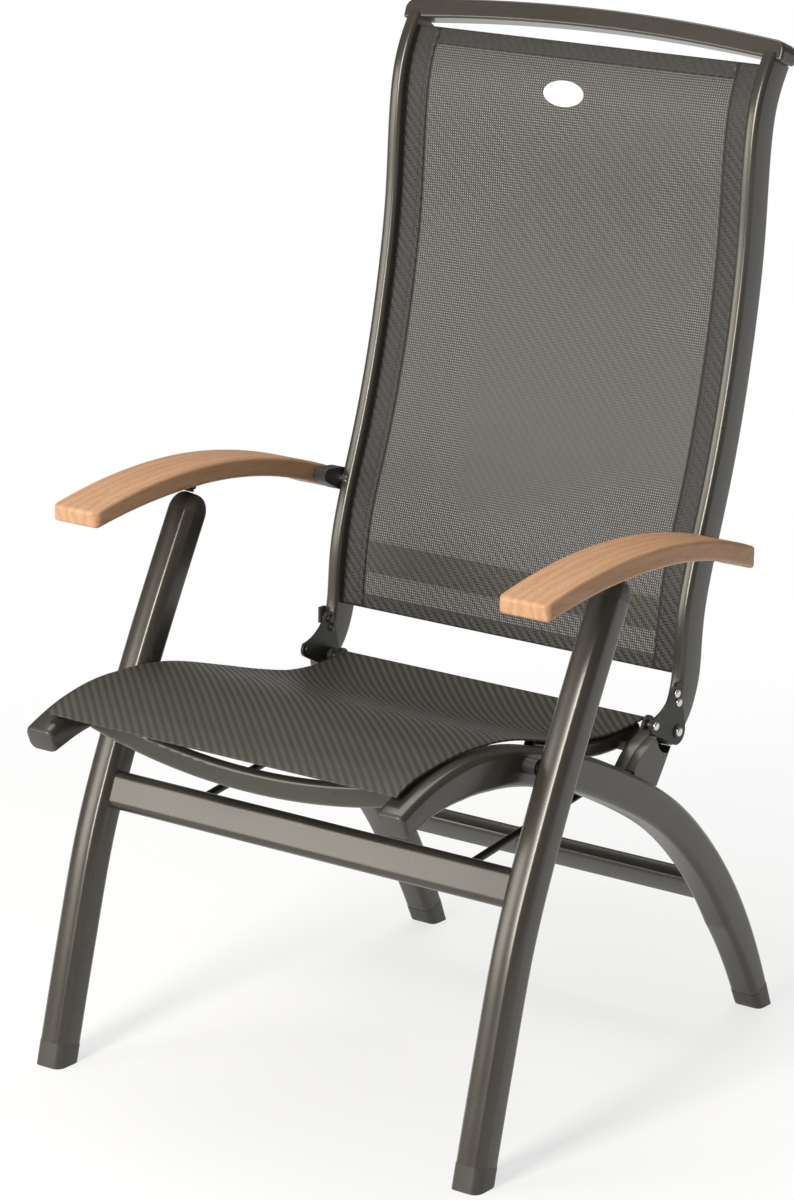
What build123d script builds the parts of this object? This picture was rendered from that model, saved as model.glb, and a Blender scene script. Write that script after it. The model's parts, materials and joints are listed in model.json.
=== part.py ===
from build123d import *
from math import cos, hypot, radians, sin
import os

os.makedirs("parts", exist_ok=True)

# driving dimensions: lengths in millimetres, side lines as (depth, height)
depth_middle = 296.6
floor_gap = 8.0
wall = 1.6
running_gap = 0.05
rest_gap = 0.3

# arch: one bent tube from the seat front over the crest to the rear foot
arch_inner = 211.0
arch_width = 30.0
arch_centre = arch_inner + arch_width / 2
arch_lean = 27.1
arch_line = [(-66, 411), (94.6, 442), (212.1, 416.2), (306, 380.5), (445.5, 301.7), (664.9, -1.6)]
arch_depth = 41.0
foot_depths = [(0.62, 41), (0.82, 36), (1, 27)]
arch_round_share = 0.46
rear_foot_height = 30.0
foot_wall = 1.8
end_cap_length = 9.0
end_cap_round = 4.0

# front leg: D tube, round side forward
leg_inner = 263.0
leg_width = 34.0
leg_depth = 34.0
leg_nose = 12.0
leg_corner = 4.0
leg_centre = leg_inner + leg_width / 2
leg_lean = 78.5
leg_line = [(2.1, -12.1), (73.3, 251.8), (168.3, 455), (238, 585.8)]
front_foot_height = 27.0
cap_length = 22.0
cap_round = 9.0

# pivots in the side view
leg_pivot = (152.0, 416.0)
back_pivot = (443.0, 381.0)
rod_front = (135.1, 291.3)
rod_rear = (408.9, 323.7)
arm_pivot = (487.0, 578.0)
plate_bolts = [(439.0, 425.0), (443.0, 414.0), (398.0, 398.0)]

# crossbars
bar_corner = 9.0
front_bar_height = 42.0
front_bar_depth = 20.0
front_bar_at = (107.0, 297.0)
front_bar_lean = 22.0
rear_bar_height = 37.0
rear_bar_depth = 20.0
rear_bar_at = (548.0, 177.0)
rear_bar_lean = -36.0
bow_height = 26.0
bow_depth = 14.0
bow_corner = 6.5
bow_at = 8.0
bow_low = 373.0
bow_rise = 29.0

# seat
seat_line = [(-70, 419), (-46, 430), (-23, 438), (10, 445), (43, 448), (70, 448.5), (94, 447.5), (145, 441.5),
             (215, 423.5), (287, 402.5), (341, 391), (388, 386.5), (446, 388.5)]
seat_thick = 3.0
seat_half = 229.0
seat_rear_half = 204.0
seat_waist = (262.0, 332.0)
rail_inner = 187.5
rail_width = 14.0
rail_height = 20.0
rail_corner = 6.0
rail_lean = -17.5
rail_line = [(236, 413.5), (345, 386.5), (437, 384.3)]
rail_stub = 5.0
stub_front = (247.0, 393.0)
stub_rear = (398.0, 368.0)
seat_bar_radius = 7.0
seat_bar_at = (428.0, 370.0)

# post on the arch
post_outer = 237.0
post_line = [(352, 340), (361, 360), (370, 375), (381, 379.5), (404, 379), (440, 355), (428, 318), (400, 315)]
tongue_thick = 5.5
tongue_radius = 13.0
tongue_root = (396.0, 366.0)
swing_clearance = 1.5

# hinge
plate_at = 243.6
plate_thick = 3.4
lobe_radius = 9.0
pivot_lobe = 15.0
front_hollow = 6.0
hollow_radius = 52.0
lever_at = 206.5
lever_thick = 3.8
lever_top = 11.0
lever_foot = 8.5
axle_radius = 5.0
shaft_radius = 4.0
spacer_radius = 9.0
pin_radius = 4.0
head_radius = 5.0
head_height = 2.6
washer_radius = 8.2
washer_thick = 1.2
nut_radius = 5.5
nut_thick = 2.2

# back frame
tube_inner = 223.0
tube_width = 20.0
tube_centre = tube_inner + tube_width / 2
tube_round_share = 0.42
tube_lean = 61.5
tube_line = [(447.2, 401.8), (469.5, 478.2), (498.2, 624.2), (544.4, 824.2), (566.7, 989.8), (604.2, 1096.4)]
tube_depth = 28.0
tube_end_radius = 18.0
buffer_height = 20.0
top_half = 250.0
top_end = 1087.4
top_crown = 1100.5
top_height = 22.0
top_corner = 12.0
top_depth = 30.0
top_round = 3.0
top_at = 616.5
top_lean = 20.0
low_bar_height = 37.0
low_bar_depth = 15.0
low_bar_at = (486.0, 492.5)
low_bar_lean = 8.0
low_bar_corner = 6.5
hem_rod_radius = 4.5
hem_rod_at = (478.8, 441.0)
plug_radius = 6.5
plug_length = 8.0

# back sling and badge
back_line = [(468.5, 437), (474, 485), (488.5, 565), (504, 621), (516, 660), (536, 745), (552, 834),
             (564, 920), (575, 1003), (588.5, 1050), (603, 1086)]
back_thick = 3.0
back_half = tube_inner - rest_gap
badge_length = 53.0
badge_height = 29.0
badge_thick = 2.0
badge_at = 1032.0

# armrest
arm_inner = 261.0
arm_outer = 323.0
arm_rear_outer = 309.0
arm_waist = 250.0
arm_lean = 12.0
arm_line = [(70, 617), (250, 634.5), (492, 588)]
under_lean = 10.0
arm_under = [(74, 598), (262, 611.7), (490, 563.5)]
arm_round = 4.0
arm_edge_share = 0.8
arm_corner = 10.0
rack_centre = 281.0
rack_width = 12.0
rack_depth = 7.0
rack_span = (152.0, 268.0)
tooth_pitch = 12.0
tooth_depth = 3.5
block_thick = 16.8
block_radius = 13.0
block_nose = (463.0, 585.0)
block_nose_radius = 8.0
arm_pin_depth = 14.0
catch_at = (255.5, 608.0)
catch_radius = 2.5
catch_half = 8.0
catch_foot = 9.0

# stay rods
rod_centre = 178.0
rod_radius = 4.5
eye_width = 8.0
eye_radius = 8.5
loop_radius = 13.5
loop_clearance = 5.9
ear_thick = 3.4
ear_gap = 0.5
ear_head = 1.8


def shift(solid):
    return Pos(0, -depth_middle, 0) * solid


def save(name, solid):
    moved = shift(solid)
    moved.label = name
    export_step(moved, "parts/" + name + ".step")


def save_pair(name, solid):
    save(name + "_right", solid)
    save(name + "_left", mirror(solid, about=Plane.YZ))


def both(solid):
    return Compound(children=[solid, mirror(solid, about=Plane.YZ)])


# arcs through the points of a side line, each starting in the direction the last one ends
def chain(line, lean, x):
    along = Vector(0, cos(radians(lean)), sin(radians(lean)))
    arcs = []
    for (y_a, z_a), (y_b, z_b) in zip(line, line[1:]):
        arc = TangentArc((x, y_a, z_a), (x, y_b, z_b), tangent=along)
        along = arc % 1
        arcs.append(arc.edge())
    return arcs


# section plane on an edge, with its second direction pointing into the tube
def frame(edge, share):
    along = edge % share
    return Plane(origin=edge @ share, x_dir=(1, 0, 0), z_dir=along)


# a section carried along arcs, set in from them by half its depth
def carry(arcs, sketch, depth):
    return sweep(frame(arcs[0], 0) * (Pos(0, depth / 2) * sketch), Wire(arcs))


def oval(width, depth, share):
    return RectangleRounded(width, depth, share * min(width, depth))


def dee(width, depth):
    nose = leg_nose * width / leg_width
    block = Pos(0, nose / 2) * Rectangle(width, depth - nose)
    front = Pos(0, nose - depth / 2) * Ellipse(width / 2, nose)
    shape = block + front
    rear = shape.vertices().group_by(Axis.Y)[-1]
    return fillet(rear, leg_corner * width / leg_width)


def side_prism(sketch, x_low, x_high):
    plane = Plane(origin=(x_low, 0, 0), x_dir=(0, 1, 0), z_dir=(1, 0, 0))
    return extrude(plane * sketch, x_high - x_low)


def side_disc(at, radius, x_low, x_high):
    return side_prism(Pos(*at) * Circle(radius), x_low, x_high)


def side_box(y_low, y_high, z_low, z_high, x_low, x_high):
    size = (x_high - x_low, y_high - y_low, z_high - z_low)
    middle = ((x_high + x_low) / 2, (y_high + y_low) / 2, (z_high + z_low) / 2)
    return Pos(*middle) * Box(*size)


def hull_of(discs):
    edges = []
    for at, radius in discs:
        edges += (Pos(*at) * Circle(radius)).edges()
    return make_hull(edges)


def lean_bar(at, height, depth, lean, corner, half):
    section = Pos(*at) * Rot(0, 0, -lean) * RectangleRounded(depth, height, corner)
    hollow = Pos(*at) * Rot(0, 0, -lean) * RectangleRounded(depth - 2 * wall, height - 2 * wall, corner - wall)
    return side_prism(section - hollow, -half, half)


def above(z):
    size = 4 * arch_inner
    return Pos(0, depth_middle, z + size) * Box(2 * size, 2 * size, 2 * size)


def round_end(solid, plane, radius):
    along = Axis(plane.origin, plane.z_dir)
    return fillet(solid.faces().sort_by(along)[-1].edges(), radius)


# arch tube grown or shrunk by a margin: carried along the arcs, then tapered to the foot
def arch_skin(margin):
    arcs = chain(arch_line, arch_lean, arch_centre)
    width = arch_width + 2 * margin
    start = foot_depths[0][0]
    last = arcs[-1]
    kept = arcs[:-1] + [last.trim(0, start)]
    depth = arch_depth
    body = carry(kept, Pos(0, 0) * oval(width, depth + 2 * margin, arch_round_share), depth)
    sections = []
    for share, depth in foot_depths:
        sketch = Pos(0, depth / 2) * oval(width, depth + 2 * margin, arch_round_share)
        sections.append(frame(last, share) * sketch)
    return body, loft(sections, ruled=True)


def arch_parts():
    body, leg = arch_skin(0)
    body_hollow, leg_hollow = arch_skin(-wall)
    outer = body + leg
    tube = (outer - (body_hollow + leg_hollow)) & above(floor_gap)
    foot = (arch_skin(foot_wall)[1] & above(0) - above(rear_foot_height)) - (leg & above(floor_gap))
    first = frame(chain(arch_line, arch_lean, arch_centre)[0], 0)
    back = Plane(origin=first.origin, x_dir=first.x_dir, z_dir=-first.z_dir)
    cap = extrude(back * (Pos(0, -arch_depth / 2) * oval(arch_width, arch_depth, arch_round_share)),
                  end_cap_length)
    cap = round_end(cap, back, end_cap_round)
    return tube, outer, foot, cap


def leg_skin(margin):
    arcs = chain(leg_line, leg_lean, leg_centre)
    return carry(arcs, dee(leg_width + 2 * margin, leg_depth + 2 * margin), leg_depth)


def leg_parts():
    outer = leg_skin(0)
    tube = (outer - leg_skin(-wall)) & above(floor_gap)
    foot = (leg_skin(foot_wall) & above(0) - above(front_foot_height)) - (outer & above(floor_gap))
    last = frame(chain(leg_line, leg_lean, leg_centre)[-1], 1)
    cap = extrude(last * (Pos(0, leg_depth / 2) * dee(leg_width, leg_depth)), cap_length)
    cap = round_end(cap, last, cap_round)
    return tube, outer, foot, cap


def bow_bar(arch_outer):
    end = arch_inner + 2 * wall
    low = bow_low + bow_height / 2
    rise = bow_rise * (end / arch_inner) ** 2
    path = ThreePointArc((-end, bow_at, low + rise), (0, bow_at, low), (end, bow_at, low + rise))
    start = Plane(origin=path @ 0, x_dir=(0, 1, 0), z_dir=path % 0)
    section = RectangleRounded(bow_depth, bow_height, bow_corner)
    hollow = RectangleRounded(bow_depth - 2 * wall, bow_height - 2 * wall, bow_corner - wall)
    bar = sweep(start * section, path) - sweep(start * hollow, path)
    return bar - arch_outer - mirror(arch_outer, about=Plane.YZ)


# a thin sheet between a side line and the same line set off by its thickness
def sheet_profile(line, thick):
    face = [(y, z) for y, z in line]
    back = []
    curve = Spline(*[(y, z) for y, z in line])
    for i in range(len(line)):
        share = i / (len(line) - 1)
        at = curve @ share
        along = curve % share
        back.append((at.X + along.Y * thick, at.Y - along.X * thick))
    outer = Spline(*face)
    inner = Spline(*back)
    ends = [Line(outer @ 0, inner @ 0), Line(outer @ 1, inner @ 1)]
    return make_face([outer.edge(), inner.edge()] + [end.edge() for end in ends])


def seat_sling():
    sheet = side_prism(sheet_profile(seat_line, seat_thick), -seat_half, seat_half)
    start, end = seat_waist
    rear = seat_line[-1][0] + seat_thick
    step = seat_half - seat_rear_half
    side = seat_half + seat_thick
    inner = [(seat_half, start), (seat_rear_half, end), (seat_rear_half, rear)]
    waist = Spline(inner[0], inner[1], tangents=[(0, 1), (0, 1)])
    outline = [Line(inner[1], inner[2]), Line(inner[2], (side, rear)), Line((side, rear), (side, start)),
               Line((side, start), inner[0])]
    cut = make_face([waist.edge()] + [line.edge() for line in outline])
    tool = extrude(cut, 2 * seat_line[0][1])
    return sheet - tool - mirror(tool, about=Plane.YZ)


def seat_rail(arch_outer, post):
    middle = rail_inner + rail_width / 2
    arcs = chain(rail_line, rail_lean, middle)
    outer = carry(arcs, RectangleRounded(rail_width, rail_height, rail_corner), rail_height)
    hollow = RectangleRounded(rail_width - 2 * wall, rail_height - 2 * wall, rail_corner - wall)
    inner = carry(arcs, hollow, rail_height)
    stubs = side_disc(stub_front, rail_stub, middle, arch_centre)
    stubs += side_disc(stub_rear, rail_stub, middle, arch_inner)
    stubs = stubs - arch_outer - post
    return (outer - inner) + (stubs - outer)


def seat_bar():
    bar = side_disc(seat_bar_at, seat_bar_radius, -rail_inner, rail_inner)
    return bar - side_disc(seat_bar_at, seat_bar_radius - wall, -rail_inner, rail_inner)


def post(arch_outer):
    outline = make_face(Polyline(*post_line, close=True))
    body = side_prism(outline, arch_inner, post_outer)
    body -= side_disc(back_pivot, tube_end_radius + swing_clearance, arch_inner, post_outer)
    pocket = side_prism(offset(outline, -2 * wall), arch_inner + 2 * wall, post_outer - 2 * wall)
    pocket += Pos(0, back_pivot[0] - tongue_root[0], 0) * pocket
    body -= pocket & above(tongue_root[1] - 2 * tongue_radius)
    tongue = hull_of([(back_pivot, tongue_radius), (tongue_root, tongue_radius)])
    body += side_prism(tongue, arch_inner, arch_inner + tongue_thick)
    body -= side_disc(back_pivot, axle_radius + running_gap, arch_inner, post_outer)
    return body - arch_outer


def outer_plate():
    lobes = [(plate_bolts[0], lobe_radius), (plate_bolts[2], lobe_radius), (back_pivot, pivot_lobe)]
    shape = hull_of(lobes)
    top, low = plate_bolts[0], plate_bolts[2]
    middle = ((top[0] + low[0]) / 2, (top[1] + low[1]) / 2)
    span = hypot(top[0] - low[0], top[1] - low[1])
    out = (-(top[1] - low[1]) / span, (top[0] - low[0]) / span)
    reach = lobe_radius - front_hollow + hollow_radius
    hollow = Pos(middle[0] + out[0] * reach, middle[1] + out[1] * reach) * Circle(hollow_radius)
    return side_prism(shape - hollow, plate_at, plate_at + plate_thick)


def lever():
    shape = hull_of([(back_pivot, lever_top), (rod_rear, lever_foot)])
    return side_prism(shape, lever_at, lever_at + lever_thick)


def axle():
    return side_disc(back_pivot, axle_radius, lever_at + lever_thick, plate_at)


def spacer():
    inner = arch_inner + tongue_thick + rest_gap
    ring = side_disc(back_pivot, spacer_radius, inner, tube_inner - rest_gap)
    return ring - side_disc(back_pivot, axle_radius + running_gap, inner, tube_inner)


# low round head standing on a face at x
def head(at, radius, x):
    disc = side_disc(at, radius, x, x + head_height)
    return fillet(disc.faces().sort_by(Axis.X)[-1].edges(), head_height * arch_round_share * 2)


def plate_heads():
    face = plate_at + plate_thick
    heads = [head(at, head_radius, face) for at in plate_bolts]
    heads.append(head(back_pivot, head_radius + rest_gap, face + washer_thick))
    return heads


def pivot_washer():
    face = plate_at + plate_thick
    return side_disc(back_pivot, washer_radius, face, face + washer_thick)


def plate_nut():
    return side_disc(plate_bolts[2], nut_radius, plate_at - nut_thick, plate_at)


def pick_up_pin():
    return side_disc(plate_bolts[0], pin_radius, tube_inner, plate_at)


def back_tube():
    arcs = chain(tube_line, tube_lean, tube_centre)
    outer = carry(arcs, oval(tube_width, tube_depth, tube_round_share), tube_depth)
    inner = carry(arcs, oval(tube_width - 2 * wall, tube_depth - 2 * wall, tube_round_share), tube_depth)
    end = side_disc(back_pivot, tube_end_radius, tube_inner, tube_inner + tube_width)
    bore = side_disc(back_pivot, axle_radius + running_gap, tube_inner, tube_inner + tube_width)
    arm_hole = side_disc(arm_pivot, axle_radius, tube_centre, tube_inner + tube_width)
    return (outer - inner + end) - bore - arm_hole - top_bar(), outer + end


def buffer_block(tube_outer):
    at = plate_bolts[0]
    low = at[1] - buffer_height / 2
    block = side_box(at[0] + pin_radius + rest_gap, back_pivot[0] + 2 * tube_end_radius, low,
                     low + buffer_height, tube_inner + wall, tube_inner + tube_width - wall)
    front = block - tube_outer
    return front.solids().sort_by(Axis.Y)[0]


def top_bar():
    under = ThreePointArc((-top_half, top_end), (0, top_crown), (top_half, top_end))
    upper = ThreePointArc((-top_half, top_end + top_height), (0, top_crown + top_height),
                          (top_half, top_end + top_height))
    ends = [Line(under @ 0, upper @ 0), Line(under @ 1, upper @ 1)]
    outline = make_face([under.edge(), upper.edge()] + [end.edge() for end in ends])
    outline = fillet(outline.vertices().group_by(Axis.Y)[-1], top_corner)
    outline = fillet(outline.vertices().group_by(Axis.Y)[0], top_round)
    plane = Plane(origin=(0, top_at, 0), x_dir=(1, 0, 0), z_dir=(0, -1, 0))
    solid = extrude(plane * outline, top_depth / 2, both=True)
    faces = solid.faces().sort_by(Axis.Y)
    solid = fillet(faces[0].edges() + faces[-1].edges(), top_round)
    turn = Pos(0, top_at, top_end) * Rot(-top_lean, 0, 0) * Pos(0, -top_at, -top_end)
    return turn * solid


def back_sling():
    return side_prism(sheet_profile(back_line, back_thick), -back_half, back_half)


def badge():
    line = Spline(*back_line)
    low, high = 0.0, 1.0
    for i in range(40):
        share = (low + high) / 2
        if (line @ share).Y < badge_at:
            low = share
        else:
            high = share
    at, along = line @ low, line % low
    out = (-along.Y, along.X)
    plane = Plane(origin=(0, at.X + out[0] * rest_gap, at.Y + out[1] * rest_gap), x_dir=(1, 0, 0),
                  z_dir=(0, out[0], out[1]))
    plate = extrude(plane * Ellipse(badge_length / 2, badge_height / 2), badge_thick)
    return chamfer(plate.faces().sort_by(Axis.Y)[0].edges(), rest_gap)


def side_face(upper, lower):
    ends = [Line(upper[-1] @ 1, lower[-1] @ 1), Line(lower[0] @ 0, upper[0] @ 0)]
    return make_face([edge for edge in upper + lower] + [end.edge() for end in ends])


def flat_chain(line, lean):
    along = Vector(cos(radians(lean)), sin(radians(lean)))
    arcs = []
    for a, b in zip(line, line[1:]):
        arc = TangentArc(a, b, tangent=along)
        along = arc % 1
        arcs.append(arc.edge())
    return arcs


def armrest():
    side = side_face(flat_chain(arm_line, arm_lean), flat_chain(arm_under, under_lean))
    ends = side.vertices().group_by(Axis.X)
    side = fillet(ends[0] + ends[1] + ends[-2] + ends[-1], arm_round)
    arm = side_prism(side, arm_inner, arm_outer)
    front, rear = arm_line[0][0], arm_line[-1][0]
    outer = TangentArc((arm_outer, arm_waist), (arm_rear_outer, rear), tangent=(0, 1))
    lines = [Line((arm_inner, front), (arm_outer, front)), Line((arm_outer, front), (arm_outer, arm_waist)),
             Line((arm_rear_outer, rear), (arm_inner, rear)), Line((arm_inner, rear), (arm_inner, front))]
    plan = make_face([outer.edge()] + [line.edge() for line in lines])
    rounds = plan.vertices().group_by(Axis.Y)
    plan = fillet(rounds[0] + rounds[-1], arm_corner)
    arm = arm & extrude(plan, 2 * arm_line[0][1])
    long_edges = [edge for edge in arm.edges() if abs((edge % (1 / 2)).Y) > arm_edge_share]
    return fillet(long_edges, arm_round)


def rack():
    low, high = rack_span
    lower = flat_chain(arm_under, under_lean)
    upper = [Pos(0, rack_depth) * edge for edge in lower]
    strip = side_face(upper, lower)
    size = 2 * arm_line[0][1]
    strip = strip & (Pos((low + high) / 2, size / 2) * Rectangle(high - low, size))
    half = rack_width / 2
    blank = side_prism(strip, rack_centre - half, rack_centre + half)
    teeth = blank
    count = int((high - low) / tooth_pitch)
    first = lower[0]
    for i in range(count):
        share = (low + tooth_pitch * (i + 0.5) - arm_under[0][0]) / (arm_under[1][0] - arm_under[0][0])
        at = first @ min(share, 1)
        teeth -= side_prism(Pos(at.X, at.Y) * Circle(tooth_depth), rack_centre - size, rack_centre + size)
    return blank, teeth


def arm_block():
    shape = hull_of([(arm_pivot, block_radius), (block_nose, block_nose_radius)])
    start = tube_inner + tube_width + rest_gap
    block = side_prism(shape, start, start + block_thick)
    return block - side_disc(arm_pivot, axle_radius + running_gap, start, start + block_thick)


def arm_pin():
    return side_disc(arm_pivot, axle_radius, tube_centre, arm_inner + arm_pin_depth)


def ratchet_catch(cap):
    low, high = rack_centre - catch_half, rack_centre + catch_half
    pin = side_disc(catch_at, catch_radius, low, high)
    foot_low = catch_at[1] - catch_foot
    foot = side_box(catch_at[0] - catch_radius / 2, catch_at[0] + catch_radius / 2, foot_low, catch_at[1],
                    low + catch_radius, high - catch_radius)
    return (pin + foot) - cap


def rod_ear():
    shape = hull_of([(rod_front, eye_radius), (front_bar_at, eye_radius)])
    half = eye_width / 2 + ear_gap
    ears = []
    for start in (rod_centre - half - ear_thick, rod_centre + half):
        ears.append(side_prism(shape, start, start + ear_thick))
    section = Pos(*front_bar_at) * Rot(0, 0, -front_bar_lean)
    section = section * RectangleRounded(front_bar_depth, front_bar_height, bar_corner)
    bar = side_prism(section, -leg_inner, leg_inner)
    bore = side_disc(rod_front, pin_radius + running_gap, -leg_inner, leg_inner)
    front = side_box(rod_front[0] - 2 * leg_width, front_bar_at[0], rod_front[1] - leg_width,
                     rod_front[1] + leg_width, -leg_inner, leg_inner)
    return [(ear - bar - bore - front) for ear in ears]


def rod_pin():
    half = eye_width / 2 + ear_gap + ear_thick
    pin = side_disc(rod_front, pin_radius, rod_centre - half - ear_gap, rod_centre + half + ear_gap)
    for start in (rod_centre - half - ear_gap - ear_head, rod_centre + half + ear_gap):
        pin += side_disc(rod_front, pin_radius + ear_head, start, start + ear_head)
    return pin


def stay_rod():
    (ya, za), (yb, zb) = rod_front, rod_rear
    length = hypot(yb - ya, zb - za)
    along = ((yb - ya) / length, (zb - za) / length)
    start = (rod_centre, ya + along[0] * eye_radius / 2, za + along[1] * eye_radius / 2)
    reach = length - eye_radius / 2 - loop_radius + wall
    plane = Plane(origin=start, x_dir=(1, 0, 0), z_dir=(0, along[0], along[1]))
    bar = extrude(plane * Circle(rod_radius), reach)
    low, high = rod_centre - eye_width / 2, rod_centre + eye_width / 2
    rod = bar + side_disc(rod_front, eye_radius, low, high) + side_disc(rod_rear, loop_radius, low, high)
    rod -= side_disc(rod_front, pin_radius + running_gap, low - wall, high + wall)
    return rod - side_disc(rod_rear, shaft_radius + loop_clearance, low - wall, high + wall)


# spacer stack between arch and front leg
def leg_pivot_parts():
    arch_face = arch_inner + arch_width
    ring = side_disc(leg_pivot, spacer_radius, arch_face, leg_inner)
    pin = side_disc(leg_pivot, axle_radius, arch_face, leg_inner)
    washers = side_disc(leg_pivot, washer_radius + washer_thick, arch_face, arch_face + washer_thick)
    spacer_low = arch_face + washer_thick + rest_gap
    spacer_ring = side_disc(leg_pivot, spacer_radius, spacer_low, leg_inner - rest_gap)
    bore = side_disc(leg_pivot, axle_radius + running_gap, arch_face, leg_inner)
    return pin, washers - pin, spacer_ring - bore


def build():
    tube, arch_outer, rear_foot, front_cap = arch_parts()
    post_solid = post(arch_outer)
    save_pair("arch", tube)
    save_pair("rear_foot_cap", rear_foot)
    save_pair("arch_end_cap", front_cap)
    save_pair("hinge_post", post_solid)
    save("bowed_front_bar", bow_bar(arch_outer))
    save("rear_crossbar", lean_bar(rear_bar_at, rear_bar_height, rear_bar_depth, rear_bar_lean, bar_corner,
                                   arch_inner))
    save_pair("seat_rail", seat_rail(arch_outer, post_solid))
    save("seat_rear_bar", seat_bar())
    save("seat_sling", seat_sling())
    leg, leg_outer, foot, cap = leg_parts()
    save_pair("front_leg", leg)
    save_pair("front_foot_cap", foot)
    save_pair("leg_top_cap", cap)
    save_pair("ratchet_catch", ratchet_catch(cap))
    save("front_crossbar", lean_bar(front_bar_at, front_bar_height, front_bar_depth, front_bar_lean,
                                    bar_corner, leg_inner))
    ears = rod_ear()
    save("rod_ears", Compound(children=ears + [mirror(ear, about=Plane.YZ) for ear in ears]))
    save("rod_pins", both(rod_pin()))
    save_pair("stay_rod", stay_rod())
    pin, washer, ring = leg_pivot_parts()
    save("leg_pivot_pins", both(pin))
    save("leg_pivot_washers", both(washer))
    save("leg_pivot_spacers", both(ring))
    save_pair("hinge_plate", outer_plate())
    save_pair("hinge_lever", lever())
    save("hinge_axles", both(axle()))
    save("hinge_cross_shaft", side_disc(rod_rear, shaft_radius, -lever_at, lever_at))
    heads = plate_heads()
    save("plate_bolt_heads", Compound(children=heads + [mirror(item, about=Plane.YZ) for item in heads]))
    save("pivot_washers", both(pivot_washer()))
    save("plate_nuts", both(plate_nut()))
    save("pick_up_pins", both(pick_up_pin()))
    save("hinge_spacers", both(spacer()))
    side_tube, tube_outer = back_tube()
    save_pair("back_tube", side_tube)
    save_pair("tube_buffer", buffer_block(tube_outer))
    save("back_top_bar", top_bar())
    save("back_low_bar", lean_bar(low_bar_at, low_bar_height, low_bar_depth, low_bar_lean, low_bar_corner,
                                  tube_inner))
    save("hem_rod", side_disc(hem_rod_at, hem_rod_radius, plug_length - tube_inner, tube_inner - plug_length))
    save("hem_rod_plugs", both(side_disc(hem_rod_at, plug_radius, tube_inner - plug_length, tube_inner)))
    save("back_sling", back_sling())
    save("badge", badge())
    save("arm_pivot_pins", both(arm_pin() & side_box(0, 2 * depth_middle, 0, 4 * depth_middle, tube_centre,
                                                     arm_outer)))
    save_pair("arm_block", arm_block())
    blank, teeth = rack()
    arm = armrest() - blank
    arm -= side_disc(arm_pivot, axle_radius + running_gap, arm_inner, arm_inner + arm_pin_depth + rest_gap)
    save_pair("armrest", arm)
    save_pair("arm_rack", teeth)


build()
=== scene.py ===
import json
import math

import bpy
import numpy as np
from mathutils import Matrix, Vector


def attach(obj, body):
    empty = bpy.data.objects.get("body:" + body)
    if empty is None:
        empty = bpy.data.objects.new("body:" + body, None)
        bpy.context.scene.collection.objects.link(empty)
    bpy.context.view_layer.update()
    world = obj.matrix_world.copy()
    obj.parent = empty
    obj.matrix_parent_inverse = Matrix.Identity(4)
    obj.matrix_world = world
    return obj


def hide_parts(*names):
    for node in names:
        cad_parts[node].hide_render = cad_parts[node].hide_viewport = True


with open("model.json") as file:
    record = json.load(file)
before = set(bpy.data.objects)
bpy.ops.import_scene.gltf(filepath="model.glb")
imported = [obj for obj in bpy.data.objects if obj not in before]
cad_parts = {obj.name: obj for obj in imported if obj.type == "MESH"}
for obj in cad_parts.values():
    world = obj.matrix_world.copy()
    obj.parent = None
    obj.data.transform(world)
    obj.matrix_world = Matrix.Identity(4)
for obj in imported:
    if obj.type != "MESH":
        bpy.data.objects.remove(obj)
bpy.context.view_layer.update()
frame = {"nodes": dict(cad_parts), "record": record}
nodes = frame["nodes"]

# The camera that was solved from the photograph: picture height and focal length in its pixels, degrees,
# place in metres.
picture_height = 1200
focal_pixels = 4361.5
camera_degrees = {"azimuth": 35.88, "elevation": 15.71, "roll": 0.80}
camera_place = (2.6469, -3.6920, 1.7906)
sensor_width = 36
lens_shift = (-0.0009, 0.0033)

# Where things are in the frame, in metres. The depth of the middle is the CAD model's own.
depth_middle = 0.2966
ground_cut = 0.008  # legs and arches end this high inside their foot caps

# Tubes whose lines were measured again on the photograph. A line is the front or upper edge seen from the
# side, as depth and height.
tube_line = [(0.4176, 0.381), (0.4303, 0.3937), (0.4450, 0.4085), (0.4545, 0.432), (0.4583, 0.470),
             (0.4612, 0.500), (0.4703, 0.540), (0.498, 0.620), (0.523, 0.700), (0.5456, 0.800),
             (0.5598, 0.900), (0.5659, 1.000), (0.5753, 1.050), (0.5920, 1.086), (0.602, 1.1015)]
tube_rings = 150
tube_sides = (0.2262, 0.2428)
tube_depth = 0.0397
tube_end = 0.018  # radius of the half-round lower end
tube_round = 0.0058
leg_line = [(0.0021, -0.0121), (0.0255, 0.080), (0.0480, 0.165), (0.0733, 0.2518), (0.1150, 0.352),
            (0.1650, 0.4555), (0.2345, 0.5865)]
leg_rings = 160
leg_sides = (0.2617, 0.2982)
leg_depth = 0.034
leg_round = 0.009
leg_bulge = 0.0042  # rise of the crowned front
leg_cap = 0.022
leg_cap_round = 0.010
foot_cap_rings = 8
front_cap_height = 0.027
arch_line = [(-0.062, 0.416), (-0.030, 0.4285), (0.015, 0.4395), (0.055, 0.4435), (0.0946, 0.442),
             (0.150, 0.4337), (0.2121, 0.4162), (0.262, 0.3995), (0.306, 0.3805), (0.380, 0.3433),
             (0.4485, 0.302), (0.515, 0.2455), (0.572, 0.180), (0.620, 0.105), (0.650, 0.043),
             (0.6685, -0.0016)]
arch_rings = 260
arch_sides = (0.211, 0.247)
arch_depths = [(-0.062, 0.029), (-0.045, 0.031), (-0.010, 0.034), (0.040, 0.039), (0.0946, 0.041),
               (0.600, 0.041), (0.635, 0.034), (0.6685, 0.027)]
arch_round = 0.008
arch_behind = 0.4  # depth past which the arch is its rear branch
arch_plug = 0.004
arch_plug_round = 0.0025
arch_plug_inset = 0.0004
rear_cap_height = 0.030
cap_wall = 0.0003
crossbar_at = (0.555, 0.1665)
crossbar_size = (0.020, 0.037)
crossbar_lean = -36.0
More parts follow.
